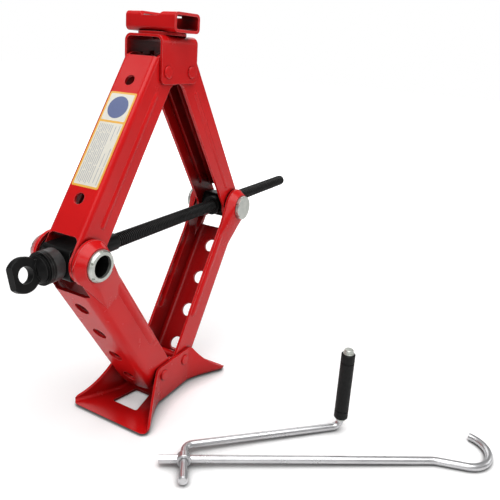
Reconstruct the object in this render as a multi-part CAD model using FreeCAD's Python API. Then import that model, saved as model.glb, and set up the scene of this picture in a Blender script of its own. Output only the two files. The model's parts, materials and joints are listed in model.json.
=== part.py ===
import FreeCAD, Part
import math
import os

# Scissor car jack with its separate two-piece folding crank, in millimetres.
# X runs along the lead screw (eye end at -X), Y along the pivot pins, Z up.
# The origin is the centre of the base plate's underside, on the ground.

V = FreeCAD.Vector
X_AXIS = V(1, 0, 0)
Y_AXIS = V(0, 1, 0)
Z_AXIS = V(0, 0, 1)

# --- scissor geometry -------------------------------------------------------
arm_length = 160.0          # pivot to pivot, the same on all four arms
rest_angle = 57.3           # arm slope above the horizontal, as modelled
gear_pitch_r = 16.0         # half the distance between paired pivots
base_pivot_z = 28.2         # base pivots above the ground
sheet = 2.5                 # pressed steel thickness

arm_rise = arm_length * math.sin(math.radians(rest_angle))
arm_reach = arm_length * math.cos(math.radians(rest_angle))
trunnion_x = gear_pitch_r + arm_reach
trunnion_z = base_pivot_z + arm_rise
top_pivot_z = base_pivot_z + 2 * arm_rise

# --- gear teeth on the arm ends ---------------------------------------------
gear_teeth = 20             # in a full circle; each arm has a sector of them
pressure_angle = 25.0
tooth_addendum = 1.3
tooth_dedendum = 1.7
tooth_backlash = 0.6        # degrees taken off each flank
tooth_pitch = 360.0 / gear_teeth
teeth_closed_side = 3       # teeth from the resting contact towards fully closed
teeth_open_side = 2         # teeth from the resting contact towards fully open

# --- arms ---------------------------------------------------------------------
upper_half_width = 16.5     # outside of the upper arms' flanges
upper_bend_r = 4.0
upper_web_n = 16.2          # outside of the web, measured from the pivot line
upper_edge_n = -12.5        # free edge of the flanges
upper_web_start = 13.0      # the web stops here above the trunnion
upper_web_end = 163.6
upper_ear_r = 16.3
upper_notch_r = 4.0         # round corners where the web stops
upper_hole_r = 4.5
upper_hole_u = (41.0, 141.0)
label_span = (50.0, 130.0)
label_half_width = 13.0
label_film = 0.2
label_corner_r = 1.5

lower_half_width = 20.7
lower_bend_r = 7.0
lower_web_n = 16.5
lower_edge_n = -14.0
lower_web_end = 137.0       # the web stops here below the trunnion
lower_tongue_r = 30.0       # rounded lower end of the web
lower_ear_r = 17.6
hub_foot_r = 17.3           # drawn hub round the journal, where it leaves the flange
hub_face_r = 13.2
hub_out = 27.3              # outside of the hub's face
hub_ramp_start = 116.0      # the flange starts to rise towards the hub here
hub_ramp_n = (-12.5, 9.0)   # width of the ramp at its start
lower_hole_r = 6.5
lower_hole_u = (11.5, 46.5, 81.5, 116.5)

rib_start = 28.0            # pressed bead along each upper flange
rib_end = 138.0
rib_r = 3.4
rib_height = 1.1
edge_rib_start = 44.0       # pressed bead beside each lower flange's free edge
edge_rib_end = 131.0
edge_rib_n = -9.0
edge_rib_r = 5.6
edge_rib_height = 1.8

# --- pins ---------------------------------------------------------------------
pin_r = 4.0
pin_clearance = 0.08
open_pivot_clearance = 0.35     # right-hand top pivot, where the linkage is opened
base_head_r = 4.9
top_head_r = 5.1
head_height = 1.5
head_round = 1.1

# --- base plate ---------------------------------------------------------------
base_half_length = 66.0
base_foot_half_width = 46.5
cheek_out = 23.5            # outside of the cheeks beside the pivots
cheek_straight = 21.5       # the cheeks are parallel out to this x
cheek_top_z = 37.4
cheek_top_half = 26.0
cheek_toe_z = 4.5
cheek_corner_r = 5.0
base_fold_r = 5.0
base_height = 60.0          # rough height before the side view trims the cheeks
window_x = (16.0, 43.0)     # window in the floor, from its narrow end to its wide end
window_half_width = (8.0, 14.0)

# --- top bracket and saddle ---------------------------------------------------
bracket_half_length = 24.0
bracket_out = 18.8
bracket_sheet = 2.0
bracket_bottom = -9.5       # below the top pivots
bracket_top = 28.3          # above the top pivots
bracket_bend_r = 6.0
spacer_height = 2.4
spacer_r = 19.5
saddle_half_width = 15.2
saddle_half_length = 26.4
saddle_height = 15.4
saddle_turn = -5.0          # how far the saddle happens to be swivelled
saddle_wall = 2.3
saddle_corner_r = 4.0
slot_depth = 3.4
slot_half_floor = 8.8
slot_half_mouth = 11.8
saddle_rivet_r = 4.5
saddle_rivet_head_r = 7.5
saddle_rivet_head = 1.8
face_gap = 0.12             # between flat faces that turn past each other

# --- trunnions ------------------------------------------------------------------
block_half_width = 13.7
block_half_height = 12.0
thrust_block_x = (-15.0, 10.0)  # left block, from the trunnion's axis
nut_half_height = 11.5
nut_half_length = 9.0
journal_r = 10.5
journal_end = 28.4
journal_bore_r = 8.5
journal_bore_depth = 11.0
ring_start = 27.5
ring_out_r = 12.1
ring_shoulder = 29.2            # the ring tapers from here to its face
ring_face_r = 10.9
ring_end = 30.9
dimple_r = 1.2
dimple_circle_r = 11.5
dimple_bottom = 29.3
cap_r = 12.0
cap_end = 31.0
cap_chamfer = 0.5
stakes = 6
stake_r = 1.2
stake_start = 35.0
spacer_tube_r = 11.0
spacer_tube_y = (16.7, 23.5)

# --- lead screw -------------------------------------------------------------------
screw_r = 6.0
screw_clearance = 0.08
screw_tip_x = 252.0
eye_x = -145.5              # centre of the crank eye
eye_hole_r = 6.0
eye_disc_r = 12.5
eye_flat_x = -155.2
eye_plate = 6.0
eye_stem_half_height = 8.0
eye_tilt = 15.0             # how far the screw happens to be turned
neck_x = (-137.2, -133.8)   # the neck swells behind the eye
neck_root_r = 5.0
neck_r = 10.0
flange_r = 12.3
flange_x = (-131.5, -129.3)
turning_race_x = (-129.3, -127.3)
cup_x = (-127.0, -119.5)
cup_floor_x = -124.3
cup_inside_r = 11.6
ball_r = 1.4
ball_count = 12
ball_circle_r = 9.8
cage_half_thickness = 0.5
sleeve_r = 6.9
sleeve_end_x = -57.0

# --- folding crank, lying on the ground beside the jack ------------------------------
rod_r = 3.1                             # both rods
fold_eye = V(-72.9, -86.6, 5.8)         # where the crank turns in the hook rod
fold_eye_r = 5.8
fold_eye_half_width = 3.6
fold_clearance = 0.3
hook_heading = -56.3                    # compass angle of the hook rod about Z
hook_start = 205.0                      # where the rod starts to bend into the hook
hook_corners = ((245.5, -11.8), (262.5, 16.9))
hook_tip = (249.6, 29.8)
hook_bend_r = 21.0
hex_tip_x = -19.8
hex_tip_r = 3.4
pin_end_y = -24.0                       # free end of the crank's short leg
pin_swell_y = -15.0
pin_swell_r = 4.0
crank_knee_y = 16.0
crank_end = V(136.2, 44.0, rod_r - fold_eye.z)
grip_r = 6.0
grip_bottom_z = 12.4
grip_top_z = 75.0
band_width = 1.4
band_inset = 8.0
washer_r = 4.7
washer_height = 1.0
retainer_r = 4.0
retainer_height = 2.8
spindle_end_z = 77.0
end_play = 0.2


def box(x0, x1, y0, y1, z0, z1):
    """Box between two corners."""
    return Part.makeBox(x1 - x0, y1 - y0, z1 - z0, V(x0, y0, z0))


def rod(start, end, radius):
    """Cylinder between two points."""
    line = end.sub(start)
    return Part.makeCylinder(radius, line.Length, start, line)


def tube(start, end, outer, inner):
    """Hollow cylinder between two points."""
    return rod(start, end, outer).cut(rod(start, end, inner))


def across(x, z, radius, half_length):
    """Cylinder along Y, centred on y = 0."""
    return rod(V(x, -half_length, z), V(x, half_length, z), radius)


def both_sides(x, z, outer, inner, y0, y1):
    """The same ring on both sides of the jack, as two separate solids."""
    near = tube(V(x, -y1, z), V(x, -y0, z), outer, inner)
    far = tube(V(x, y0, z), V(x, y1, z), outer, inner)
    return [near, far]


def side_plate(points, y0, y1):
    """Polygon in the X-Z plane, extruded along Y."""
    corners = [V(x, y0, z) for x, z in points]
    face = Part.Face(Part.makePolygon(corners + corners[:1]))
    return face.extrude(V(0, y1 - y0, 0))


def plan_plate(points, z0, z1):
    """Polygon in the X-Y plane, extruded along Z."""
    corners = [V(x, y, z0) for x, y in points]
    face = Part.Face(Part.makePolygon(corners + corners[:1]))
    return face.extrude(V(0, 0, z1 - z0))


def fillet_where(shape, radius, wanted):
    """Round every edge whose middle point passes the test."""
    picked = []
    for edge in shape.Edges:
        middle = edge.valueAt((edge.FirstParameter + edge.LastParameter) / 2)
        if wanted(middle, edge):
            picked.append(edge)
    return shape.makeFillet(radius, picked)


def chamfer_ends(shape, size):
    """Chamfer on the end circles of a round bar."""
    edges = [e for e in shape.Edges if e.Length > 10 and e.isClosed()]
    return shape.makeChamfer(size, edges)


def mirrored(shape):
    """The same piece on the other side of the X = 0 plane."""
    copy = shape.mirror(V(0, 0, 0), X_AXIS)
    if copy.Volume < 0:
        copy.reverse()
    return copy


# --- gear teeth -----------------------------------------------------------------------

def involute(angle):
    return math.tan(angle) - angle


def tooth(centre_angle, half_width):
    """One involute tooth at the origin, as a plate across the arm."""
    alpha = math.radians(pressure_angle)
    base_r = gear_pitch_r * math.cos(alpha)
    root_r = gear_pitch_r - tooth_dedendum
    tip_r = gear_pitch_r + tooth_addendum
    half_at_pitch = math.radians(tooth_pitch / 4 - tooth_backlash)

    def flank_point(r, side):
        at_r = math.acos(min(1.0, base_r / r))
        half = half_at_pitch + involute(alpha) - involute(at_r)
        turn = math.radians(centre_angle) + side * half
        return V(r * math.cos(turn), -half_width, r * math.sin(turn))

    steps = 5
    radii = [base_r + (tip_r - base_r) * i / (steps - 1) for i in range(steps)]
    left = [flank_point(r, 1) for r in radii]
    right = [flank_point(r, -1) for r in radii]
    sunk = (root_r - 1.5) / base_r
    left_foot = V(left[0].x * sunk, -half_width, left[0].z * sunk)
    right_foot = V(right[0].x * sunk, -half_width, right[0].z * sunk)
    left_curve = Part.BSplineCurve()
    left_curve.interpolate(left)
    right_curve = Part.BSplineCurve()
    right_curve.interpolate(right)
    edges = [
        Part.makeLine(left_foot, left[0]),
        left_curve.toShape(),
        Part.makeLine(left[-1], right[-1]),
        right_curve.toShape(),
        Part.makeLine(right[0], right_foot),
        Part.makeLine(right_foot, left_foot),
    ]
    face = Part.Face(Part.Wire(Part.__sortEdges__(edges)))
    return face.extrude(V(0, 2 * half_width, 0))


def toothed_end(contact_angle, towards_closed, phase, half_width):
    """Round end of an arm with its sector of teeth, centred on the origin."""
    end = across(0, 0, gear_pitch_r - tooth_dedendum, half_width)
    for step in range(-teeth_open_side, teeth_closed_side + 1):
        angle = contact_angle + (step + phase) * tooth_pitch * towards_closed
        end = end.fuse(tooth(angle, half_width))
    return end


# --- arms, built with the pivot line along +X and the web on the +Z side -----------------

def ribbed(arm, half_width, span, n, radius, height):
    """Press a round-ended bead outwards along both flanges of an arm."""
    inside = box(-50, arm_length + 50, sheet - half_width, half_width - sheet, -50, 50)
    for side in (-1, 1):
        bead_y = side * (half_width - radius + height)
        groove_y = bead_y - side * sheet
        bead = rod(V(span[0], bead_y, n), V(span[1], bead_y, n), radius)
        groove = rod(V(span[0], groove_y, n), V(span[1], groove_y, n), radius)
        for end in span:
            bead = bead.fuse(Part.makeSphere(radius, V(end, bead_y, n)))
            groove = groove.fuse(Part.makeSphere(radius, V(end, groove_y, n)))
        arm = arm.fuse(bead.cut(inside)).cut(groove)
    return arm


def upper_arm(phase, top_hole_r):
    """Channel with bare ears at the trunnion (origin) and teeth at the top end."""
    reach = 30.0
    depth = 30.0
    outer = box(-reach, arm_length + reach, -upper_half_width, upper_half_width, -depth, upper_web_n)
    outer = fillet_where(outer, upper_bend_r, lambda p, e: p.z > upper_web_n - 0.1 and abs(p.y) > 1)
    inside = upper_half_width - sheet
    core = box(-reach, arm_length + reach, -inside, inside, -depth, upper_web_n - sheet)
    core = fillet_where(core, upper_bend_r - sheet,
                        lambda p, e: p.z > upper_web_n - sheet - 0.1 and abs(p.y) > 1)

    outline = side_plate([(0, upper_edge_n), (arm_length, upper_edge_n), (arm_length, upper_web_n),
                          (0, upper_web_n)], -depth, depth)
    outline = outline.fuse(across(0, 0, upper_ear_r, depth))
    gear = toothed_end(-rest_angle, 1, phase, depth)
    gear.translate(V(arm_length, 0, 0))
    outline = outline.fuse(gear)
    outline = outline.fuse(box(arm_length - 1, upper_web_end, -depth, depth, 6, upper_web_n))

    arm = outer.common(outline).cut(core)
    notch = box(-reach, upper_web_start, -inside, inside, -depth, depth)
    notch = fillet_where(notch, upper_notch_r,
                         lambda p, e: (p.x > upper_web_start - 0.1 and abs(p.y) > inside - 0.1
                                       and abs(p.z) < 1))
    arm = arm.cut(notch)
    arm = ribbed(arm, upper_half_width, (rib_start, rib_end), 0, rib_r, rib_height)
    for u in upper_hole_u:
        arm = arm.cut(rod(V(u, 0, 0), V(u, 0, depth), upper_hole_r))
    arm = arm.cut(across(0, 0, journal_r + pin_clearance, depth))
    arm = arm.cut(across(arm_length, 0, top_hole_r, depth))
    arm.rotate(V(0, 0, 0), Y_AXIS, -rest_angle)
    arm.translate(V(-trunnion_x, 0, trunnion_z))
    return arm.removeSplitter()


def shoulder(side, inset, bottom):
    """Solid that rises from the flange to the hub's round face, drawn in by an inset."""
    foot = hub_foot_r - inset
    face = hub_face_r - inset
    low_n, high_n = hub_ramp_n[0] + inset, hub_ramp_n[1] - inset
    start = hub_ramp_start + 2 * inset

    def at(along, n, y):
        return V(arm_length + along, side * y, n)

    def arc(radius, y, *turns):
        ends = [at(radius * math.cos(math.radians(t)), radius * math.sin(math.radians(t)), y) for t in turns]
        return Part.Arc(*ends).toShape()

    top = hub_out - inset
    corners = [at(0, -foot, bottom), at(start - arm_length, low_n, bottom),
               at(start - arm_length, high_n, bottom), at(0, foot, bottom)]
    outline = Part.Wire([arc(foot, bottom, 90, 0, -90)]
                        + [Part.makeLine(a, b) for a, b in zip(corners, corners[1:])])
    disc = Part.Wire([arc(face, top, 90, 0, -90), arc(face, top, -90, -112.5, -135),
                      arc(face, top, -135, 180, 135), arc(face, top, 135, 112.5, 90)])
    return Part.makeLoft([outline, disc], True, True)


def hub(side):
    """Drawn hub of a lower arm's ear: sheet that rises round the journal, and its hollow."""
    root = side * (lower_half_width - sheet)
    foot = side * lower_half_width
    outer = shoulder(side, 0, lower_half_width)
    plug = rod(V(arm_length, root, 0), V(arm_length, foot, 0), hub_foot_r)
    hollow = shoulder(side, sheet, lower_half_width - sheet)
    return outer, plug, hollow


def lower_arm(phase):
    """Channel with teeth at the base pivot (origin) and drawn hubs at the trunnion."""
    reach = 30.0
    depth = 30.0
    on_fold = lambda top: (lambda p, e: p.z > top - 0.1 and abs(e.tangentAt(e.FirstParameter).x) > 0.5)
    outer = box(-reach, arm_length + reach, -lower_half_width, lower_half_width, -depth, lower_web_n)
    outer = fillet_where(outer, lower_bend_r, on_fold(lower_web_n))
    inner_n = lower_web_n - sheet
    inside = lower_half_width - sheet
    core = box(-reach, arm_length + reach, -inside, inside, -depth, inner_n)
    core = fillet_where(core, lower_bend_r - sheet, on_fold(inner_n))

    outline = side_plate([(0, lower_edge_n), (arm_length - 25, lower_edge_n), (arm_length - 6, -16.5),
                          (arm_length + 1, -17.5), (arm_length + 1, 17.5), (arm_length - 4, 17.1),
                          (lower_web_end, lower_web_n), (-6, lower_web_n), (-6, 5)], -depth, depth)
    outline = outline.fuse(across(arm_length, 0, lower_ear_r, depth))
    outline = outline.fuse(toothed_end(rest_angle - 180, -1, phase, depth))
    arm = outer.cut(core).common(outline)
    arm = arm.cut(box(lower_web_end, arm_length + reach, -inside, inside, 0, depth))
    arm = ribbed(arm, lower_half_width, (edge_rib_start, edge_rib_end), edge_rib_n, edge_rib_r,
                 edge_rib_height)
    for side in (-1, 1):
        drawn, plug, hollow = hub(side)
        arm = arm.fuse(plug).fuse(drawn).cut(hollow)
    tongue = rod(V(lower_tongue_r - 6, 0, 0), V(lower_tongue_r - 6, 0, depth), lower_tongue_r)
    trim = box(-reach, 12, -depth, depth, lower_web_n - lower_bend_r, depth).cut(tongue)
    arm = arm.cut(trim)
    for u in lower_hole_u:
        arm = arm.cut(rod(V(u, 0, 0), V(u, 0, depth), lower_hole_r))
    arm = arm.cut(across(0, 0, pin_r + pin_clearance, depth))
    arm = arm.cut(across(arm_length, 0, journal_r + pin_clearance, depth))
    arm.rotate(V(0, 0, 0), Y_AXIS, rest_angle - 180)
    arm.translate(V(-gear_pitch_r, 0, base_pivot_z))
    return arm.removeSplitter()


def label():
    """Thin sticker on the web of the left upper arm."""
    sticker = box(*label_span, -label_half_width, label_half_width, upper_web_n, upper_web_n + label_film)
    sticker = fillet_where(sticker, label_corner_r, lambda p, e: abs(e.tangentAt(e.FirstParameter).z) > 0.9)
    sticker.rotate(V(0, 0, 0), Y_AXIS, -rest_angle)
    sticker.translate(V(-trunnion_x, 0, trunnion_z))
    return sticker


# --- base -----------------------------------------------------------------------------------

def foot_half_width(x):
    """Outside of the base plate at x: parallel cheeks that sweep out to the feet."""
    run = max(0.0, abs(x) - cheek_straight) / (base_half_length - cheek_straight)
    return cheek_out + (base_foot_half_width - cheek_out) * run ** 1.3


def base_plan(inset, length):
    """Closed plan outline of the base plate, inset from its edge."""
    steps = 6
    stations = [cheek_straight + (base_half_length - cheek_straight) * i / steps for i in range(steps + 1)]
    edges = []
    for sx, sy in ((1, 1), (-1, 1), (-1, -1), (1, -1)):
        curve = Part.BSplineCurve()
        points = [V(sx * x, sy * (foot_half_width(x) - inset), 0) for x in stations]
        curve.interpolate(points)
        edges.append(curve.toShape())
        if length > base_half_length:
            edges.append(Part.makeLine(points[-1], V(sx * length, points[-1].y, 0)))
    end_y = foot_half_width(base_half_length) - inset
    side_y = cheek_out - inset
    for sx in (-1, 1):
        edges.append(Part.makeLine(V(sx * length, -end_y, 0), V(sx * length, end_y, 0)))
    for sy in (-1, 1):
        edges.append(Part.makeLine(V(-cheek_straight, sy * side_y, 0), V(cheek_straight, sy * side_y, 0)))
    return Part.Face(Part.Wire(Part.__sortEdges__(edges)))


def base_side_view(half_width):
    """Side view of the base plate: flat cheek tops, then a hollow sweep down to the toes."""
    steps = 5
    sweep = []
    for i in range(steps + 1):
        run = i / steps
        x = cheek_top_half + (base_half_length - cheek_top_half) * run
        z = cheek_toe_z + (cheek_top_z - cheek_toe_z) * (1 - run) ** 1.7
        sweep.append((x, z))
    edges = []
    for side in (-1, 1):
        curve = Part.BSplineCurve()
        points = [V(side * x, -half_width, z) for x, z in sweep]
        curve.interpolate(points)
        edges.append(curve.toShape())
        edges.append(Part.makeLine(points[-1], V(side * base_half_length, -half_width, -5)))
    for x, z in ((cheek_top_half, cheek_top_z), (base_half_length, -5)):
        edges.append(Part.makeLine(V(-x, -half_width, z), V(x, -half_width, z)))
    face = Part.Face(Part.Wire(Part.__sortEdges__(edges)))
    solid = face.extrude(V(0, 2 * half_width, 0))
    return fillet_where(solid, cheek_corner_r,
                        lambda p, e: abs(abs(p.x) - cheek_top_half) < 0.1 and p.z > cheek_top_z / 2)


def base_plate():
    """Pressed plate: floor, two cheeks that sweep out into four feet, windows."""
    outer = base_plan(0, base_half_length).extrude(V(0, 0, base_height))
    outer = fillet_where(outer, 6.0, lambda p, e: abs(p.x) > base_half_length - 0.1 and abs(p.y) > cheek_out
                         and abs(p.z - base_height / 2) < 1)
    on_fold = lambda z: (lambda p, e: abs(p.z - z) < 0.05 and abs(p.x) < base_half_length - 1.5
                         and abs(p.y) > 15)
    outer = fillet_where(outer, base_fold_r, on_fold(0))
    core = base_plan(sheet, base_half_length + 5).extrude(V(0, 0, base_height))
    core = fillet_where(core, base_fold_r - sheet, on_fold(0))
    core.translate(V(0, 0, sheet))
    plate = outer.cut(core).common(base_side_view(60))
    for side in (-1, 1):
        corners = [(side * x, turn * half) for turn, ends in ((-1, (0, 1)), (1, (1, 0)))
                   for x, half in ((window_x[i], window_half_width[i]) for i in ends)]
        window = plan_plate(corners, -1, sheet + 1)
        window = fillet_where(window, 2.0, lambda p, e: abs(e.tangentAt(e.FirstParameter).z) > 0.9)
        plate = plate.cut(window)
        plate = plate.cut(across(side * gear_pitch_r, base_pivot_z, pin_r, 60))
    return plate.removeSplitter()


def headed_pin(x, z, half_grip, head_r):
    """Pivot pin across the jack with a formed head on each end."""
    pin = across(x, z, pin_r, half_grip + head_height)
    for side in (-1, 1):
        inner = V(x, side * half_grip, z)
        outer = V(x, side * (half_grip + head_height), z)
        head = rod(inner, outer, head_r)
        head = fillet_where(head, head_round, lambda p, e: abs(p.y) > half_grip + 1 and e.Length > 10)
        pin = pin.fuse(head)
    return pin.removeSplitter()


def pivot_pins(z, half_grip, head_r):
    """The left and right pins of one end, as two separate solids."""
    return Part.makeCompound([headed_pin(side * gear_pitch_r, z, half_grip, head_r) for side in (-1, 1)])


# --- top ------------------------------------------------------------------------------------

def top_bracket():
    """Folded bracket, open at both ends and below, that holds the upper arms."""
    low = top_pivot_z + bracket_bottom
    high = top_pivot_z + bracket_top
    outer = box(-bracket_half_length, bracket_half_length, -bracket_out, bracket_out, low, high)
    outer = fillet_where(outer, bracket_bend_r,
                         lambda p, e: p.z > high - 0.1 and abs(p.y) > bracket_out - 0.1)
    inside = bracket_out - bracket_sheet
    roof = high - bracket_sheet
    core = box(-60, 60, -inside, inside, low - 5, roof)
    core = fillet_where(core, bracket_bend_r - bracket_sheet, lambda p, e: p.z > roof - 0.1 and abs(p.y) > 1)
    bracket = outer.cut(core)
    corner = lambda p, e: (abs(e.tangentAt(e.FirstParameter).y) > 0.9 and p.z < low + 1
                           and abs(p.x) > bracket_half_length - 0.1)
    bracket = fillet_where(bracket, 4.0, corner)
    for side in (-1, 1):
        bracket = bracket.cut(across(side * gear_pitch_r, top_pivot_z, pin_r, 60))
    return bracket.cut(rod(V(0, 0, roof - 5), V(0, 0, high + 5), saddle_rivet_r))


saddle_bottom = top_pivot_z + bracket_top + spacer_height
saddle_top = saddle_bottom + saddle_height


def saddle_spacer():
    """Washer between bracket and saddle."""
    bottom = top_pivot_z + bracket_top
    return tube(V(0, 0, bottom), V(0, 0, saddle_bottom - face_gap), spacer_r, saddle_rivet_r)


def saddle_rivet():
    """Centre rivet on which the saddle swivels."""
    under = top_pivot_z + bracket_top - bracket_sheet
    over = saddle_bottom + saddle_wall + face_gap
    shank = rod(V(0, 0, under), V(0, 0, over), saddle_rivet_r)
    lower = rod(V(0, 0, under - saddle_rivet_head), V(0, 0, under), saddle_rivet_head_r)
    upper = rod(V(0, 0, over), V(0, 0, over + saddle_rivet_head), saddle_rivet_head_r)
    return shank.fuse(lower).fuse(upper).removeSplitter()


def saddle():
    """Rectangular tube along Y with a slot across its top for the car's sill flange."""
    along_y = lambda p, e: abs(e.tangentAt(e.FirstParameter).y) > 0.9
    body = box(-saddle_half_width, saddle_half_width, -saddle_half_length, saddle_half_length,
               saddle_bottom, saddle_top)
    body = fillet_where(body, saddle_corner_r, along_y)
    w = saddle_half_width - saddle_wall
    hollow = box(-w, w, -60, 60, saddle_bottom + saddle_wall, saddle_top - saddle_wall)
    hollow = fillet_where(hollow, saddle_corner_r - saddle_wall, along_y)
    body = body.cut(hollow)
    floor_z = saddle_top - slot_depth
    over = saddle_top + 2
    rise = (slot_half_mouth - slot_half_floor) * (over - floor_z) / slot_depth
    corners = [(-slot_half_floor, floor_z), (slot_half_floor, floor_z),
               (slot_half_floor + rise, over), (-slot_half_floor - rise, over)]
    points = [V(-60, y, z) for y, z in corners]
    slot = Part.Face(Part.makePolygon(points + points[:1])).extrude(V(120, 0, 0))
    body = body.cut(slot)
    bore = rod(V(0, 0, saddle_bottom - 5), V(0, 0, saddle_bottom + 5), saddle_rivet_r + pin_clearance)
    body = body.cut(bore)
    body.rotate(V(0, 0, 0), Z_AXIS, saddle_turn)
    return body


# --- trunnions ---------------------------------------------------------------------------------

def round_the_rim(x, z, radius):
    """Evenly spaced places on a circle round a trunnion's axis."""
    for i in range(stakes):
        turn = math.radians(360.0 * i / stakes + stake_start)
        yield x + radius * math.cos(turn), z + radius * math.sin(turn)


def block(x, reach, half_height, corner_r):
    """Rounded block with a solid journal on each side, not yet bored."""
    body = box(x + reach[0], x + reach[1], -block_half_width, block_half_width,
               trunnion_z - half_height, trunnion_z + half_height)
    body = fillet_where(body, corner_r, lambda p, e: abs(e.tangentAt(e.FirstParameter).y) > 0.9)
    return body.fuse(across(x, trunnion_z, journal_r, journal_end))


def screw_bore(x):
    """Bore of a block for the lead screw, with a running fit."""
    return rod(on_screw(x - 40), on_screw(x + 40), screw_r + screw_clearance)


def thrust_trunnion():
    """Left block: hollow journals for the arms, and the seat of the thrust bearing."""
    x = -trunnion_x
    body = block(x, thrust_block_x, block_half_height, 3.0)
    body = body.fuse(rod(on_screw(cup_x[1]), on_screw(x), neck_r))
    for side in (-1, 1):
        mouth = V(x, side * (journal_end + 1), trunnion_z)
        end = V(x, side * (journal_end - journal_bore_depth), trunnion_z)
        body = body.cut(rod(mouth, end, journal_bore_r))
    return body.cut(screw_bore(x)).removeSplitter()


def nut_trunnion():
    """Right block: threaded for the lead screw, with solid journals."""
    x = trunnion_x
    body = block(x, (-nut_half_length, nut_half_length), nut_half_height, 4.0)
    body = body.fuse(rod(on_screw(x - 15), on_screw(x), 9.5))
    return body.cut(screw_bore(x)).removeSplitter()


def spacer_tubes(x):
    """Spacers on the journals, between the upper arm's ears and the lower arm's ears."""
    return Part.makeCompound(both_sides(x, trunnion_z, spacer_tube_r, journal_r, *spacer_tube_y))


def journal_rings():
    """Tapered retaining rings on the hollow journals, staked with small dimples."""
    x = -trunnion_x
    solids = []
    for side in (-1, 1):
        start, end = V(x, side * ring_start, trunnion_z), V(x, side * journal_end, trunnion_z)
        shoulder_at = V(x, side * ring_shoulder, trunnion_z)
        taper = Part.makeCone(ring_out_r, ring_face_r, ring_end - ring_shoulder, shoulder_at, V(0, side, 0))
        ring = rod(start, shoulder_at, ring_out_r).fuse(taper)
        ring = ring.cut(across(x, trunnion_z, journal_bore_r, 60)).cut(rod(start, end, journal_r))
        for dimple_x, dimple_z in round_the_rim(x, trunnion_z, dimple_circle_r):
            ring = ring.cut(rod(V(dimple_x, side * dimple_bottom, dimple_z), V(dimple_x, side * 60, dimple_z),
                                dimple_r))
        solids.append(ring)
    return Part.makeCompound(solids)


def journal_caps():
    """Closed caps staked on the solid journals."""
    solids = []
    for side in (-1, 1):
        start = V(trunnion_x, side * ring_start, trunnion_z)
        shoulder_at = V(trunnion_x, side * journal_end, trunnion_z)
        edge = V(trunnion_x, side * (cap_end - cap_chamfer), trunnion_z)
        rim = Part.makeCone(cap_r, cap_r - cap_chamfer, cap_chamfer, edge, V(0, side, 0))
        cap = rod(start, edge, cap_r).fuse(rim).cut(rod(start, shoulder_at, journal_r))
        for notch_x, notch_z in round_the_rim(trunnion_x, trunnion_z, cap_r + 0.4):
            cap = cap.cut(across(notch_x, notch_z, stake_r, 60))
        solids.append(cap)
    return Part.makeCompound(solids)


# --- lead screw and thrust bearing -----------------------------------------------------------------

def on_screw(x):
    return V(x, 0, trunnion_z)


def lead_screw():
    """Lead screw at its outside diameter, with a domed tip."""
    shaft = rod(on_screw(flange_x[0]), on_screw(screw_tip_x), screw_r)
    return fillet_where(shaft, 3.0, lambda p, e: p.x > screw_tip_x - 0.1 and e.Length > 10)


def eye_head():
    """Forged end of the screw: flat eye plate, stem, neck and thrust flange."""
    half = eye_plate / 2
    plate = across(eye_x, trunnion_z, eye_disc_r, half)
    plate = fillet_where(plate, 1.2, lambda p, e: abs(abs(p.y) - half) < 0.05)
    plate = plate.cut(box(-200, eye_flat_x, -20, 20, 0, 400))
    stem = box(eye_x + eye_hole_r, flange_x[0], -half, half,
               trunnion_z - eye_stem_half_height, trunnion_z + eye_stem_half_height)
    swell = Part.makeCone(neck_root_r, neck_r, neck_x[1] - neck_x[0], on_screw(neck_x[0]), X_AXIS)
    neck = rod(on_screw(neck_x[1]), on_screw(flange_x[0]), neck_r)
    flange = rod(on_screw(flange_x[0]), on_screw(flange_x[1]), flange_r)
    head = plate.fuse(stem).fuse(swell).fuse(neck).fuse(flange)
    head = head.cut(across(eye_x, trunnion_z, eye_hole_r, 30))
    head = head.cut(rod(on_screw(flange_x[0]), on_screw(0), screw_r))
    head.rotate(on_screw(0), X_AXIS, -eye_tilt)
    return head.removeSplitter()


def turning_race():
    """Thrust washer that turns with the screw."""
    return tube(on_screw(turning_race_x[0]), on_screw(turning_race_x[1]), flange_r, screw_r + 0.4)


def bearing_cup():
    """Fixed race of the thrust bearing, with a skirt that covers the balls."""
    cup = tube(on_screw(cup_x[0]), on_screw(cup_x[1]), flange_r, screw_r + 0.4)
    return cup.cut(rod(on_screw(cup_x[0] - 1), on_screw(cup_floor_x), cup_inside_r))


ball_x = cup_floor_x - ball_r - 0.1


def ball_places():
    for i in range(ball_count):
        turn = 2 * math.pi * i / ball_count
        yield V(ball_x, ball_circle_r * math.cos(turn), trunnion_z + ball_circle_r * math.sin(turn))


def bearing_balls():
    return Part.makeCompound([Part.makeSphere(ball_r, place) for place in ball_places()])


def bearing_cage():
    """Flat ring that spaces the balls."""
    low, high = on_screw(ball_x - cage_half_thickness), on_screw(ball_x + cage_half_thickness)
    cage = tube(low, high, ball_circle_r + 1.6, ball_circle_r - 1.8)
    for place in ball_places():
        cage = cage.cut(rod(place - X_AXIS, place + X_AXIS, ball_r + 0.05))
    return cage


def stop_sleeve():
    """Sleeve on the smooth part of the screw, behind the left block."""
    return tube(on_screw(-trunnion_x + journal_r + 0.4), on_screw(sleeve_end_x), sleeve_r, screw_r)


# --- folding crank ------------------------------------------------------------------------------------

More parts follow.
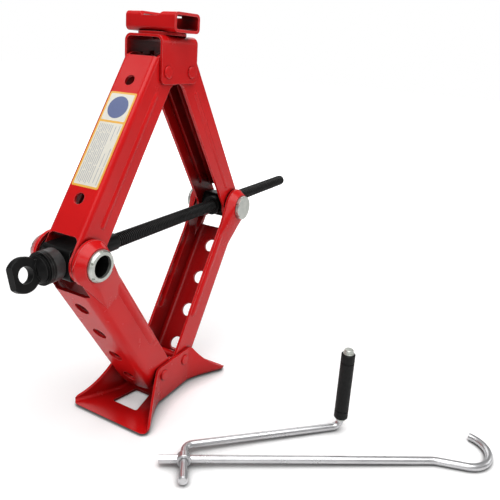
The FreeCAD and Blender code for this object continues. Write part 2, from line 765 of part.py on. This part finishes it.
def rounded_path(points, radii):
    """Wire of straight runs joined by tangent arcs at the inner points."""
    edges = []
    start = points[0]
    for before, corner, after, radius in zip(points, points[1:], points[2:], radii):
        into = corner.sub(before).normalize()
        out = after.sub(corner).normalize()
        turn = math.acos(max(-1.0, min(1.0, into.dot(out))))
        back = radius * math.tan(turn / 2)
        arc_start = corner - into * back
        arc_end = corner + out * back
        inward = (out - into).normalize()
        bulge = radius / math.cos(turn / 2) - radius
        edges.append(Part.makeLine(start, arc_start))
        edges.append(Part.Arc(arc_start, corner + inward * bulge, arc_end).toShape())
        start = arc_end
    edges.append(Part.makeLine(start, points[-1]))
    return Part.Wire(edges)


def bent_rod(points, radii, radius):
    """Round rod along a path of runs and arcs."""
    path = rounded_path(points, radii)
    heading = points[1].sub(points[0])
    section = Part.Wire(Part.makeCircle(radius, points[0], heading))
    return path.makePipeShell([section], True, False)


def lay(shape):
    """Turn a piece modelled along +X to the hook rod's heading and put it in place."""
    shape.rotate(V(0, 0, 0), Z_AXIS, hook_heading)
    shape.translate(fold_eye)
    return shape


def hook_rod():
    """Rod with a hook at the far end, and an eye and hexagonal tip at the near end."""
    far = rod_r - fold_eye.z
    corners = [V(x, y, far) for x, y in ((hook_start, 0),) + hook_corners + (hook_tip,)]
    rod_body = bent_rod([V(rod_r, 0, 0)] + corners, [hook_bend_r] * 3, rod_r)
    eye = across(0, 0, fold_eye_r, fold_eye_half_width)
    eye = fillet_where(eye, 1.2, lambda p, e: e.Length > 20)
    turns = [math.radians(60 * i) for i in range(7)]
    hexagon = [V(hex_tip_x, hex_tip_r * math.sin(turn), hex_tip_r * math.cos(turn)) for turn in turns]
    tip = Part.Face(Part.makePolygon(hexagon)).extrude(V(-hex_tip_x - fold_eye_r + 1, 0, 0))
    body = rod_body.fuse(eye).fuse(tip)
    body = body.cut(across(0, 0, rod_r + fold_clearance, 30))
    return lay(body.removeSplitter())


def crank_rod():
    """Rod bent twice: short leg through the eye, long arm, and the upright grip spindle."""
    path = [V(0, pin_end_y, 0), V(0, crank_knee_y, 0), crank_end, on_spindle(spindle_end_z)]
    swell = rod(V(0, pin_end_y, 0), V(0, pin_swell_y, 0), pin_swell_r)
    swell = chamfer_ends(swell, 0.9)
    return lay(bent_rod(path, [9, 7], rod_r).fuse(swell).removeSplitter())


def on_spindle(z):
    return V(crank_end.x, crank_end.y, z - fold_eye.z)


def grip():
    """Moulded tube that spins on the crank's spindle, with a groove near each end."""
    sleeve = rod(on_spindle(grip_bottom_z), on_spindle(grip_top_z), grip_r)
    sleeve = chamfer_ends(sleeve, 0.7)
    for z in (grip_bottom_z + band_inset, grip_top_z - band_inset):
        low = on_spindle(z - band_width / 2)
        high = on_spindle(z + band_width / 2)
        sleeve = sleeve.cut(tube(low, high, grip_r + 1, grip_r - 0.5))
    return lay(sleeve.cut(rod(on_spindle(0), on_spindle(grip_top_z + 1), rod_r + fold_clearance)))


def washer_on_spindle(bottom):
    return tube(on_spindle(bottom), on_spindle(bottom + washer_height), washer_r, rod_r)


def grip_washers():
    """Washers at the ends of the grip."""
    lower = washer_on_spindle(grip_bottom_z - end_play - washer_height)
    upper = washer_on_spindle(grip_top_z + end_play)
    return lay(Part.makeCompound([lower, upper]))


def grip_retainer():
    """Push-on cap that holds the grip on its spindle."""
    bottom = grip_top_z + end_play + washer_height
    cap = rod(on_spindle(bottom), on_spindle(bottom + retainer_height), retainer_r)
    cap = fillet_where(cap, 1.2, lambda p, e: p.z > bottom + 2 - fold_eye.z and e.Length > 10)
    return lay(cap.cut(rod(on_spindle(0), on_spindle(spindle_end_z), rod_r)))


parts = {
    "base_plate": base_plate(),
    "base_pivot_pins": pivot_pins(base_pivot_z, cheek_out, base_head_r),
    "lower_arm_left": lower_arm(0.0),
    "lower_arm_right": mirrored(lower_arm(0.5)),
    "upper_arm_left": upper_arm(0.0, pin_r + pin_clearance),
    "upper_arm_right": mirrored(upper_arm(0.5, pin_r + open_pivot_clearance)),
    "label": label(),
    "top_bracket": top_bracket(),
    "top_pivot_pins": pivot_pins(top_pivot_z, bracket_out, top_head_r),
    "saddle_spacer": saddle_spacer(),
    "saddle_rivet": saddle_rivet(),
    "saddle": saddle(),
    "thrust_trunnion": thrust_trunnion(),
    "left_spacer_tubes": spacer_tubes(-trunnion_x),
    "journal_rings": journal_rings(),
    "nut_trunnion": nut_trunnion(),
    "right_spacer_tubes": spacer_tubes(trunnion_x),
    "journal_caps": journal_caps(),
    "bearing_cup": bearing_cup(),
    "bearing_balls": bearing_balls(),
    "bearing_cage": bearing_cage(),
    "turning_race": turning_race(),
    "lead_screw": lead_screw(),
    "eye_head": eye_head(),
    "stop_sleeve": stop_sleeve(),
    "hook_rod": hook_rod(),
    "crank_rod": crank_rod(),
    "grip": grip(),
    "grip_washers": grip_washers(),
    "grip_retainer": grip_retainer(),
}

os.makedirs("parts", exist_ok=True)
for name, shape in parts.items():
    shape.exportStep("parts/" + name + ".step")
    print(name, "solids", len(shape.Solids), "valid", shape.isValid(), "volume", round(shape.Volume, 1))
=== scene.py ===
import json
import math

import bpy
from mathutils import Matrix, Vector


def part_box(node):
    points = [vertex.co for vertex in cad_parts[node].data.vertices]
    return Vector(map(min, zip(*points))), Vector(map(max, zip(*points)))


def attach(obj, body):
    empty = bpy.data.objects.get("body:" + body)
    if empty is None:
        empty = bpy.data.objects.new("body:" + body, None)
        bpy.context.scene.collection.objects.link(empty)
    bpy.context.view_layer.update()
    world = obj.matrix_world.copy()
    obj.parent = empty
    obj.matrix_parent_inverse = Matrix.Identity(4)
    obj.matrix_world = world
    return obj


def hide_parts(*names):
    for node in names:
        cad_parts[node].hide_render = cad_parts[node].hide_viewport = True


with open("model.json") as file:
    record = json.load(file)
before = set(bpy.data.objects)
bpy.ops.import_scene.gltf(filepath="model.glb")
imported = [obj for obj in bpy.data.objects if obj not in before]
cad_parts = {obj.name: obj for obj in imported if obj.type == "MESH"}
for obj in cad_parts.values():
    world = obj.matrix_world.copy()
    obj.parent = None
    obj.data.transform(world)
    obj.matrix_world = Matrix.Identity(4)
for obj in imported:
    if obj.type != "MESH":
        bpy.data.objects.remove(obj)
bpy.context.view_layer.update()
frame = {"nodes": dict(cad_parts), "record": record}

MM = 0.001
WHITE = (1.0, 1.0, 1.0, 1.0)
nodes = frame["nodes"]
record = frame["record"]


def mid(node):
    """Centre of a CAD node's box."""
    low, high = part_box(node)
    return (Vector(low) + Vector(high)) / 2


# --- driving places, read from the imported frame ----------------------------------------
screw_low, screw_high = (Vector(c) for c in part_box("lead_screw"))
SCREW_Z = (screw_low.z + screw_high.z) / 2
SCREW_R = (screw_high.z - screw_low.z) / 2
SLEEVE_END = Vector(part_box("stop_sleeve")[1]).x
ARM_SLOPE = math.radians(57.3)


# --- material helpers ------------------------------------------------------------------

class Graph:
    """Small helper that adds and links shader nodes."""

    def __init__(self, name):
        self.material = bpy.data.materials.new(name)
        self.material.use_nodes = True
        self.tree = self.material.node_tree
        self.bsdf = self.tree.nodes["Principled BSDF"]
        self.place = self.add("ShaderNodeTexCoord").outputs["Object"]

    def add(self, kind, **settings):
        node = self.tree.nodes.new(kind)
        for key, value in settings.items():
            setattr(node, key, value)
        return node

    def link(self, source, target):
        self.tree.links.new(source, target)

    def scaled(self, scale):
        """Object coordinates stretched by a vector."""
        node = self.add("ShaderNodeMapping")
        node.inputs["Scale"].default_value = scale
        self.link(self.place, node.inputs["Vector"])
        return node.outputs["Vector"]

    def noise(self, scale, detail=3.0, roughness=0.55, stretch=None):
        node = self.add("ShaderNodeTexNoise")
        node.inputs["Scale"].default_value = scale
        node.inputs["Detail"].default_value = detail
        node.inputs["Roughness"].default_value = roughness
        self.link(self.scaled(stretch) if stretch else self.place, node.inputs["Vector"])
        return node.outputs["Fac"]

    def ramp(self, source, stops):
        """Colour ramp from (position, colour) pairs; a grey is one number."""
        node = self.add("ShaderNodeValToRGB")
        points = node.color_ramp.elements
        while len(points) < len(stops):
            points.new(0.5)
        for point, (position, colour) in zip(points, stops):
            point.position = position
            if isinstance(colour, (int, float)):
                colour = (colour, colour, colour)
            point.color = (*colour, 1.0)
        self.link(source, node.inputs["Fac"])
        return node.outputs["Color"]

    def mixed(self, first, second, share, mode="MIX"):
        """Mix of two colours, each a socket or a constant."""
        node = self.add("ShaderNodeMix", data_type="RGBA", blend_type=mode)
        for name, value in (("Factor", share), ("A", first), ("B", second)):
            socket = [s for s in node.inputs if s.name == name and s.enabled][0]
            if isinstance(value, bpy.types.NodeSocket):
                self.link(value, socket)
            else:
                socket.default_value = value
        return [s for s in node.outputs if s.enabled][0]

    def bump(self, height, distance, strength, below=None):
        """Normal from a height, on top of the normal below it if there is one."""
        node = self.add("ShaderNodeBump")
        node.inputs["Distance"].default_value = distance
        node.inputs["Strength"].default_value = strength
        self.link(height, node.inputs["Height"])
        if below:
            self.link(below, node.inputs["Normal"])
        return node.outputs["Normal"]

    def soft_edges(self, radius):
        """Normal that rounds every edge off over a radius."""
        node = self.add("ShaderNodeBevel", samples=6)
        node.inputs["Radius"].default_value = radius
        return node.outputs["Normal"]

    def edges(self, radius):
        """Factor that is high on outside and inside edges, broken up by a fine noise."""
        soft = self.add("ShaderNodeBevel", samples=8)
        soft.inputs["Radius"].default_value = radius
        match = self.add("ShaderNodeVectorMath", operation="DOT_PRODUCT")
        self.link(soft.outputs["Normal"], match.inputs[0])
        self.link(self.add("ShaderNodeNewGeometry").outputs["Normal"], match.inputs[1])
        line = self.ramp(match.outputs["Value"], [(0.90, 1.0), (0.985, 0.0)])
        broken = self.ramp(self.noise(160.0, 4.0), [(0.35, 0.25), (0.65, 1.0)])
        return self.mixed(line, broken, 1.0, "MULTIPLY")

    def product(self, first, second):
        node = self.add("ShaderNodeMath", operation="MULTIPLY")
        self.link(first, node.inputs[0])
        self.link(second, node.inputs[1])
        return node.outputs["Value"]

    def hidden(self, distance, dark, span=(0.15, 0.8)):
        """Factor that falls to a dark value in hollows and close to other surfaces."""
        node = self.add("ShaderNodeAmbientOcclusion", samples=12)
        node.inputs["Distance"].default_value = distance
        return self.ramp(node.outputs["AO"], [(span[0], dark), (span[1], 1.0)])

    def done(self, normal=None, **values):
        """Set the shader's inputs, each a socket or a constant, and give the material."""
        for key, value in values.items():
            socket = self.bsdf.inputs[key.replace("_", " ")]
            if isinstance(value, bpy.types.NodeSocket):
                self.link(value, socket)
            else:
                socket.default_value = value
        if normal:
            self.link(normal, self.bsdf.inputs["Normal"])
        return self.material


# --- materials -------------------------------------------------------------------------

RED_DARK = (0.56, 0.005, 0.006)
RED_LIGHT = (0.64, 0.007, 0.008)
# pale pink of worn edges, partly a painted edge highlight
RED_WEAR_AND_HIGHLIGHT = (0.74, 0.17, 0.17, 1.0)
# grey of worn oxide edges, partly a painted edge highlight
OXIDE_WEAR_AND_HIGHLIGHT = (0.09, 0.09, 0.085, 1.0)
HOLLOW_SHADE_REACH = 50 * MM        # surfaces this near to each other get painted shade, darkening the paint colour
WEAR_AND_HIGHLIGHT_REACH = 30 * MM          # surfaces this near to an edge keep it from the lighter worn edge and its painted highlight


def red_enamel():
    """Sprayed gloss enamel: slight colour drift, painted shade in hollows, lighter worn edges with a
    painted edge highlight, orange peel, soft press edges.
    """
    g = Graph("red_enamel")
    drift = g.noise(22.0, 2.0)
    colour = g.ramp(drift, [(0.3, RED_DARK), (0.7, RED_LIGHT)])
    # painted shade: the enamel colour darkens in hollows and between nearby parts, where shade falls
    colour = g.mixed(colour, g.hidden(HOLLOW_SHADE_REACH, 0.10), 1.0, "MULTIPLY")
    # lighter pink along open edges: partly paint wear, partly a painted edge highlight; kept off edges
    # close to other surfaces
    colour = g.mixed(colour, RED_WEAR_AND_HIGHLIGHT, g.product(g.edges(0.5 * MM), g.hidden(WEAR_AND_HIGHLIGHT_REACH, 0.0)))
    rough = g.ramp(g.noise(60.0, 4.0), [(0.3, 0.20), (0.75, 0.29)])
    normal = g.soft_edges(0.6 * MM)
    normal = g.bump(g.noise(330.0, 2.0), 0.04 * MM, 0.25, normal)
    normal = g.bump(g.noise(38.0, 1.0), 0.4 * MM, 0.3, normal)
    return g.done(normal, Base_Color=colour, Roughness=rough, IOR=1.45, Specular_IOR_Level=0.34)


def black_oxide(name, level, gloss):
    """Oiled black oxide steel: near black, cloudy sheen, fine tool marks, edges lightened partly as wear
    and partly as a painted edge highlight.
    """
    g = Graph(name)
    colour = g.ramp(g.noise(120.0, 5.0, 0.65), [(0.3, level * 0.6), (0.75, level * 1.8)])
    # grey along edges: partly worn oxide, partly a painted edge highlight
    colour = g.mixed(colour, OXIDE_WEAR_AND_HIGHLIGHT, g.edges(0.45 * MM))
    rough = g.ramp(g.noise(180.0, 4.0), [(0.3, 0.28), (0.8, 0.50)])
    normal = g.soft_edges(0.35 * MM)
    normal = g.bump(g.noise(700.0, 3.0), 0.04 * MM, 0.5, normal)
    return g.done(normal, Base_Color=colour, Roughness=rough, Specular_IOR_Level=gloss)


def oiled_thread(crest, depth):
    """Oiled thread: grey crests with a painted highlight over dark roots with painted shade, told apart by
    radius, under a random dirt tone.
    """
    g = Graph("oiled_thread")
    from_axis = g.add("ShaderNodeVectorMath", operation="SUBTRACT")
    g.link(g.scaled((0.0, 1.0, 1.0)), from_axis.inputs[0])
    from_axis.inputs[1].default_value = (0.0, 0.0, SCREW_Z)
    radius = g.add("ShaderNodeVectorMath", operation="LENGTH")
    g.link(from_axis.outputs["Vector"], radius.inputs[0])
    height = g.add("ShaderNodeMapRange")
    g.link(radius.outputs["Value"], height.inputs["Value"])
    height.inputs["From Min"].default_value = crest - depth * 0.75
    height.inputs["From Max"].default_value = crest
    # painted highlight on the crests and painted shade in the roots, by distance from the screw's axis
    crest_highlight_root_shade = g.ramp(height.outputs["Result"], [(0.4, 0.001), (1.0, 0.045)])
    dirt = g.ramp(g.noise(150.0, 4.0), [(0.3, 0.55), (0.7, 1.0)])
    colour = g.mixed(crest_highlight_root_shade, dirt, 1.0, "MULTIPLY")
    rough = g.ramp(g.noise(140.0, 4.0), [(0.3, 0.26), (0.8, 0.42)])
    normal = g.bump(g.noise(900.0, 2.0), 0.02 * MM, 0.4)
    return g.done(normal, Base_Color=colour, Roughness=rough, Specular_IOR_Level=0.12)


def zinc_plate():
    """Satin zinc: pale grey with faint warm and cool clouds and fine scratches."""
    g = Graph("zinc_plate")
    clouds = g.ramp(g.noise(150.0, 4.0), [(0.3, (0.50, 0.53, 0.49)), (0.7, (0.66, 0.66, 0.62))])
    scratches = g.noise(900.0, 2.0, stretch=(1.0, 0.1, 6.0))
    rough = g.ramp(scratches, [(0.3, 0.28), (0.7, 0.46)])
    normal = g.soft_edges(0.3 * MM)
    normal = g.bump(scratches, 0.02 * MM, 0.4, normal)
    return g.done(normal, Base_Color=clouds, Roughness=rough, Metallic=0.9)


def bright_rod():
    """Bright zinc plated rod with faint clouds and a fine grain."""
    g = Graph("bright_rod")
    clouds = g.ramp(g.noise(60.0, 4.0), [(0.3, (0.60, 0.60, 0.61)), (0.75, (0.72, 0.72, 0.73))])
    grain = g.noise(1400.0, 2.0)
    rough = g.ramp(g.noise(90.0, 5.0), [(0.3, 0.26), (0.8, 0.36)])
    normal = g.soft_edges(0.3 * MM)
    normal = g.bump(grain, 0.015 * MM, 0.3, normal)
    return g.done(normal, Base_Color=clouds, Roughness=rough, Metallic=0.85)


def black_grip():
    """Matte black moulded plastic with a fine texture."""
    g = Graph("black_grip")
    colour = g.ramp(g.noise(200.0, 3.0), [(0.3, 0.003), (0.7, 0.006)])
    rough = g.ramp(g.noise(500.0, 3.0), [(0.3, 0.45), (0.7, 0.65)])
    normal = g.bump(g.noise(1500.0, 2.0), 0.05 * MM, 0.4, g.soft_edges(0.3 * MM))
    return g.done(normal, Base_Color=colour, Roughness=rough, Specular_IOR_Level=0.25)


def brass():
    """Pressed brass of the bearing's cage."""
    g = Graph("brass_cage")
    colour = g.ramp(g.noise(200.0, 3.0), [(0.3, (0.45, 0.30, 0.10)), (0.7, (0.62, 0.43, 0.17))])
    return g.done(g.soft_edges(0.1 * MM), Base_Color=colour, Roughness=0.35, Metallic=1.0)


def steel_ball():
    """Polished bearing steel."""
    g = Graph("steel_ball")
    colour = g.ramp(g.noise(300.0, 2.0), [(0.3, 0.5), (0.7, 0.62)])
    return g.done(None, Base_Color=colour, Roughness=0.15, Metallic=1.0)


def printed(name, colour, drift=0.06):
    """Printed film: almost flat colour with faint mottling, satin varnish."""
    g = Graph(name)
    dark = tuple(c * (1 - drift) for c in colour)
    mottled = g.ramp(g.noise(350.0, 3.0), [(0.3, dark), (0.7, colour)])
    normal = g.bump(g.noise(120.0, 2.0), 0.1 * MM, 0.25)
    return g.done(normal, Base_Color=mottled, Roughness=0.38, Coat_Weight=0.3, Coat_Roughness=0.2)


def paint(obj, material):
    obj.data.materials.clear()
    obj.data.materials.append(material)


def finish_node(name, material):
    """Give every material slot of a CAD node one material."""
    for slot in nodes[name].material_slots:
        slot.material = material


SLOT_MATERIALS = {
    "red_paint": red_enamel(),
    "black_steel": black_oxide("black_oxide", 0.005, 0.13),
    "zinc_plate": zinc_plate(),
    "bright_rod": bright_rod(),
    "black_grip": black_grip(),
    "brass_cage": brass(),
    "bearing_steel": steel_ball(),
    "label_film": printed("label_cream", (0.78, 0.75, 0.66)),
}
slot_of = {row["node"]: row["material_slot"] for row in record["subparts"]}
for node_name in nodes:
    finish_node(node_name, SLOT_MATERIALS[slot_of[node_name]])
finish_node("bearing_cup", black_oxide("worn_oxide", 0.024, 0.5))


# --- mesh helpers ----------------------------------------------------------------------

def piece(name, mesh, body, material, smooth=True):
    """New object from a mesh, riding on a body and finished in a slot."""
    obj = bpy.data.objects.new(name, mesh)
    bpy.context.collection.objects.link(obj)
    for polygon in mesh.polygons:
        polygon.use_smooth = smooth
    paint(obj, material)
    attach(obj, body)
    return obj


def mesh_of(name, points, faces):
    mesh = bpy.data.meshes.new(name)
    mesh.from_pydata(points, [], faces)
    mesh.validate()
    mesh.update()
    return mesh


def ring_of_quads(first, second, count):
    """Quads that join two closed loops of points, given by their first indices."""
    quads = []
    for i in range(count):
        j = (i + 1) % count
        quads.append((first + i, first + j, second + j, second + i))
    return quads


# --- lead screw: smooth under the sleeve, rolled thread from there to the domed tip ----

THREAD_PITCH = 2.2 * MM
THREAD_DEPTH = 0.9 * MM
THREAD_SIDES = 32
RINGS_PER_TURN = 9
WAVE_STRETCH = 1.3            # the profile's wave is deepened by this and cut flat at its root,
WAVE_LIFT = 0.1               # and raised by this and cut flat at its crest
TIP_ROUND = 3.0 * MM
TIP_STEPS = 6
RUN_OUT_BACK = TIP_ROUND * 0.6


def thread_depth_at(turns):
    """Depth below the crest at a point of the thread's profile, with a flat root and crest."""
    run = turns % 1.0
    wave = 0.5 - 0.5 * math.cos(2 * math.pi * run)
    return THREAD_DEPTH * min(1.0, max(0.0, WAVE_STRETCH * wave - WAVE_LIFT))


def threaded_screw():
    """The screw's mesh: rings of points along it, whose radius follows the thread."""
    start, end = screw_low.x, screw_high.x
    thread_start = SLEEVE_END
    tip_start = end - TIP_ROUND
    count = int((tip_start - thread_start) / THREAD_PITCH * RINGS_PER_TURN)
    stations = [start]
    stations += [thread_start + (tip_start - thread_start) * i / count for i in range(count + 1)]
    dome = [math.radians(90 * i / TIP_STEPS) for i in range(1, TIP_STEPS + 1)]
    stations += [tip_start + TIP_ROUND * math.sin(a) for a in dome]
    points = []
    for x in stations:
        crest = SCREW_R
        if x > tip_start:
            back = (x - end + TIP_ROUND) / TIP_ROUND
            crest = SCREW_R - TIP_ROUND + TIP_ROUND * math.sqrt(max(0.0, 1 - back * back))
        run_in = min(1.0, max(0.0, (x - thread_start) / THREAD_PITCH))
        run_out = min(1.0, max(0.0, (end - RUN_OUT_BACK - x) / THREAD_PITCH))
        for i in range(THREAD_SIDES):
            turn = i / THREAD_SIDES
            angle = 2 * math.pi * turn
            r = crest - thread_depth_at((x - thread_start) / THREAD_PITCH - turn) * run_in * run_out
            points.append((x, r * math.cos(angle), SCREW_Z + r * math.sin(angle)))
    faces = []
    n = THREAD_SIDES
    for k in range(len(stations) - 1):
        faces += ring_of_quads(k * n, (k + 1) * n, n)
    last = (len(stations) - 1) * n
    faces.append(tuple(reversed(range(n))))
    faces.append(tuple(range(last, last + n)))
    mesh = mesh_of("threaded_screw", points, faces)
    mesh.flip_normals()
    return mesh


screw = piece("threaded_screw", threaded_screw(), "screw",
              oiled_thread(SCREW_R, THREAD_DEPTH))
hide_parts("lead_screw")


# --- label: plain pale panels, coloured border, a round dot and thin plain bars --------

LABEL_MID = mid("label")
LABEL_HALF_LENGTH = 40 * MM
LABEL_HALF_WIDTH = 13 * MM
LABEL_ROUND = 1.4 * MM
FILM_BOTTOM = -0.1 * MM
LAYER = 0.05 * MM
FILM_SHARE = 0.9              # of a layer's height that its film fills

BORDER = 1.6 * MM
DIVIDER = (13.6 * MM, 15.4 * MM)
PANEL_ROUND = 0.8 * MM
DOT_R = 9.4 * MM

BAR_ROWS = 12
BLANK_ROWS = (1, 3)
FIRST_ROW = -9.6 * MM
BAR_STEP = 1.75 * MM
BAR_WIDTH = 0.6 * MM
BAR_ROUND = BAR_WIDTH * 0.3
BAR_GAP = 0.9 * MM
BARS_START, LAST_BAR_START, BARS_END = -37.0 * MM, 10.0 * MM, 12.0 * MM
ROW_INDENT = 0.7 * MM         # the rows start at three places in turn, this far apart
INDENTS = 3
SHORTEST_BAR = 9              # millimetres; each bar is 0 to 6 mm longer than this
BAR_LENGTHS = 7
ROW_SHUFFLE = 5               # makes neighbouring rows break at different places
LAST_HEADING_ROW = 2          # the rows up to this one leave the middle clear
CLEAR_MIDDLE = (-16 * MM, -2 * MM)


def on_label(along, across, height):
    """Point on the label: along the arm, across it, and out from the web."""
    return (LABEL_MID.x + along * math.cos(ARM_SLOPE) - height * math.sin(ARM_SLOPE),
            LABEL_MID.y + across,
            LABEL_MID.z + along * math.sin(ARM_SLOPE) + height * math.cos(ARM_SLOPE))


def rounded_panel(a0, a1, c0, c1, radius, steps=5):
    """Outline of a rectangle with round corners, in label coordinates."""
    corners = ((a1 - radius, c1 - radius), (a0 + radius, c1 - radius),
               (a0 + radius, c0 + radius), (a1 - radius, c0 + radius))
    outline = []
    for quarter, (a, c) in enumerate(corners):
        for i in range(steps + 1):
            turn = math.radians(90 * quarter + 90 * i / steps)
            outline.append((a + radius * math.cos(turn), c + radius * math.sin(turn)))
    return outline


def disc(a, c, radius, steps=48):
    """Outline of a circle, in label coordinates."""
    turns = [2 * math.pi * i / steps for i in range(steps)]
    return [(a + radius * math.cos(turn), c + radius * math.sin(turn)) for turn in turns]


def layer(name, outlines, level, material):
    """Flat printed shapes, one film layer thick, at a level above the web."""
    points, faces = [], []
    low = FILM_BOTTOM + level * LAYER
    for outline in outlines:
        first = len(points)
        n = len(outline)
        for height in (low, low + LAYER * FILM_SHARE):
            points += [on_label(a, c, height) for a, c in outline]
        faces.append(tuple(first + i for i in reversed(range(n))))
        faces.append(tuple(first + n + i for i in range(n)))
        faces += ring_of_quads(first, first + n, n)
    mesh = mesh_of(name, points, faces)
    return piece(name, mesh, "upper_left", material, smooth=False)


def label_bars():
    """Outlines of the thin plain bars: rows of short dashes with uneven lengths."""
    bars = []
    for row in range(BAR_ROWS):
        if row in BLANK_ROWS:
            continue
        c = FIRST_ROW + row * BAR_STEP
        start = BARS_START + (row % INDENTS) * ROW_INDENT
        while start < LAST_BAR_START:
            extra = (row * ROW_SHUFFLE + int(start / MM)) % BAR_LENGTHS
            stop = min(start + (SHORTEST_BAR + extra) * MM, BARS_END)
            beside = start < CLEAR_MIDDLE[0] or start > CLEAR_MIDDLE[1]
            if row > LAST_HEADING_ROW or beside:
                bars.append(rounded_panel(start, stop, c - BAR_WIDTH / 2, c + BAR_WIDTH / 2, BAR_ROUND, 2))
            start = stop + BAR_GAP
    return bars


def make_label():
    """Border film, two panels, then the dot and the bars on top of them."""
    border = rounded_panel(-LABEL_HALF_LENGTH, LABEL_HALF_LENGTH, -LABEL_HALF_WIDTH, LABEL_HALF_WIDTH,
                           LABEL_ROUND)
    film = layer("label_border", [border], 0, printed("label_yellow", (0.86, 0.47, 0.07)))
    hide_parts("label")
    side = LABEL_HALF_WIDTH - BORDER
    panels = [rounded_panel(-LABEL_HALF_LENGTH + BORDER, DIVIDER[0], -side, side, PANEL_ROUND),
              rounded_panel(DIVIDER[1], LABEL_HALF_LENGTH - BORDER, -side, side, PANEL_ROUND)]
    layer("label_panels", panels, 1, SLOT_MATERIALS["label_film"])
    dot_place = (DIVIDER[1] + LABEL_HALF_LENGTH - BORDER) / 2
    layer("label_dot", [disc(dot_place, 0, DOT_R)], 2, printed("label_blue", (0.115, 0.15, 0.31)))
    layer("label_bars", label_bars(), 2, printed("label_grey", (0.42, 0.43, 0.45)))


make_label()


# --- stage -----------------------------------------------------------------------------

FLOOR_HALF = 6.0
FLOOR_DROP = 0.02 * MM        # keeps the floor just clear of the faces that stand on it
FLOOR_GREY = (0.86, 0.86, 0.86, 1.0)
GLOW_SPAN = (0.25, 1.2)       # distances from the jack between which the glow grows
GLOW = (0.24, 0.9)
# painted contact shadow on the floor: its reach, darkest value and span
CONTACT_SHADOW_REACH = 24 * MM
CONTACT_SHADOW_DARK = 0.20
CONTACT_SHADOW_SPAN = (0.35, 0.82)
BACKDROP_SEEN = 1.0
ROOM_LIGHT = 0.22


def area_light(name, place, aim, size, watts):
    data = bpy.data.lights.new(name, "AREA")
    data.shape = "RECTANGLE"
    data.size, data.size_y = size
    data.energy = watts
    lamp = bpy.data.objects.new(name, data)
    bpy.context.collection.objects.link(lamp)
    lamp.location = place
    lamp.rotation_euler = (Vector(aim) - Vector(place)).to_track_quat("-Z", "Y").to_euler()


def make_floor():
    """Pale floor that brightens into the white backdrop far from the jack, with a painted contact shadow
    close to the jack's parts.
    """
    mesh = bpy.data.meshes.new("floor")
    corners = [(x * FLOOR_HALF, y * FLOOR_HALF, 0) for x, y in ((-1, -1), (1, -1), (1, 1), (-1, 1))]
    mesh.from_pydata(corners, [], [(0, 1, 2, 3)])
    floor = bpy.data.objects.new("floor", mesh)
    bpy.context.collection.objects.link(floor)
    g = Graph("floor_white")
    distance = g.add("ShaderNodeVectorMath", operation="LENGTH")
    g.link(g.place, distance.inputs[0])
    far = g.add("ShaderNodeMapRange", interpolation_type="SMOOTHSTEP")
    g.link(distance.outputs["Value"], far.inputs["Value"])
    far.inputs["From Min"].default_value, far.inputs["From Max"].default_value = GLOW_SPAN
    far.inputs["To Min"].default_value, far.inputs["To Max"].default_value = GLOW
    # painted contact shadow: floor colour and glow darken close to the jack's parts
    contact_shadow = g.hidden(CONTACT_SHADOW_REACH, CONTACT_SHADOW_DARK, CONTACT_SHADOW_SPAN)
    glow = g.product(far.outputs["Result"], g.add("ShaderNodeLightPath").outputs["Is Camera Ray"])
    g.link(g.product(glow, contact_shadow), g.bsdf.inputs["Emission Strength"])
    colour = g.mixed(FLOOR_GREY, contact_shadow, 1.0, "MULTIPLY")
    paint(floor, g.done(None, Base_Color=colour, Roughness=0.6, Emission_Color=WHITE))
    floor.location.z = -FLOOR_DROP


def make_world(seen, lighting):
    """White backdrop for the camera, and a dimmer room for light and reflections."""
    world = bpy.data.worlds.new("studio")
    world.use_nodes = True
    tree = world.node_tree
    room = tree.nodes["Background"]
    backdrop = tree.nodes.new("ShaderNodeBackground")
    for background, strength in ((room, lighting), (backdrop, seen)):
        background.inputs["Color"].default_value = WHITE
        background.inputs["Strength"].default_value = strength
    path = tree.nodes.new("ShaderNodeLightPath")
    mix = tree.nodes.new("ShaderNodeMixShader")
    tree.links.new(path.outputs["Is Camera Ray"], mix.inputs["Fac"])
    tree.links.new(room.outputs["Background"], mix.inputs[1])
    tree.links.new(backdrop.outputs["Background"], mix.inputs[2])
    tree.links.new(mix.outputs["Shader"], tree.nodes["World Output"].inputs["Surface"])
    bpy.context.scene.world = world


make_floor()
make_world(BACKDROP_SEEN, ROOM_LIGHT)
bpy.context.scene.view_settings.view_transform = "Standard"
area_light("overhead", place=(-0.35, -0.35, 1.7), aim=(-0.05, -0.05, 0.1), size=(1.7, 1.7), watts=30)
area_light("front_left", place=(-1.3, -0.9, 0.9), aim=(0, 0, 0.15), size=(0.9, 0.7), watts=4)
area_light("back_right", place=(1.1, 0.75, 0.85), aim=(0, 0, 0.1), size=(1.3, 1.0), watts=5)
area_light("back_left", place=(-0.50, 0.82, 1.16), aim=(-0.035, 0, 0.298), size=(0.34, 0.26), watts=0.5)
area_light("right_panel", place=(1.2, -1.5, 0.8), aim=(0, 0, 0.15), size=(1.0, 0.8), watts=4)


# --- camera: low three-quarter view from the crank eye's end ---------------------------

CAMERA_PLACE = Vector((-0.38246, -0.29255, 0.31664))
VIEW = Vector((0.853938, 0.449155, -0.262774)).normalized()
UP = Vector((0.199939, 0.183012, 0.962565))
LENS = 40.15
SENSOR_WIDTH = 36.0
SHIFT_Y = -0.09


def make_camera():
    right = VIEW.cross(UP).normalized()
    up = right.cross(VIEW)
    data = bpy.data.cameras.new("camera")
    data.lens = LENS
    data.sensor_width = SENSOR_WIDTH
    data.shift_y = SHIFT_Y
    camera = bpy.data.objects.new("camera", data)
    bpy.context.collection.objects.link(camera)
    turn = Matrix((right, up, -VIEW)).transposed()
    camera.matrix_world = Matrix.Translation(CAMERA_PLACE) @ turn.to_4x4()
    bpy.context.scene.camera = camera


make_camera()
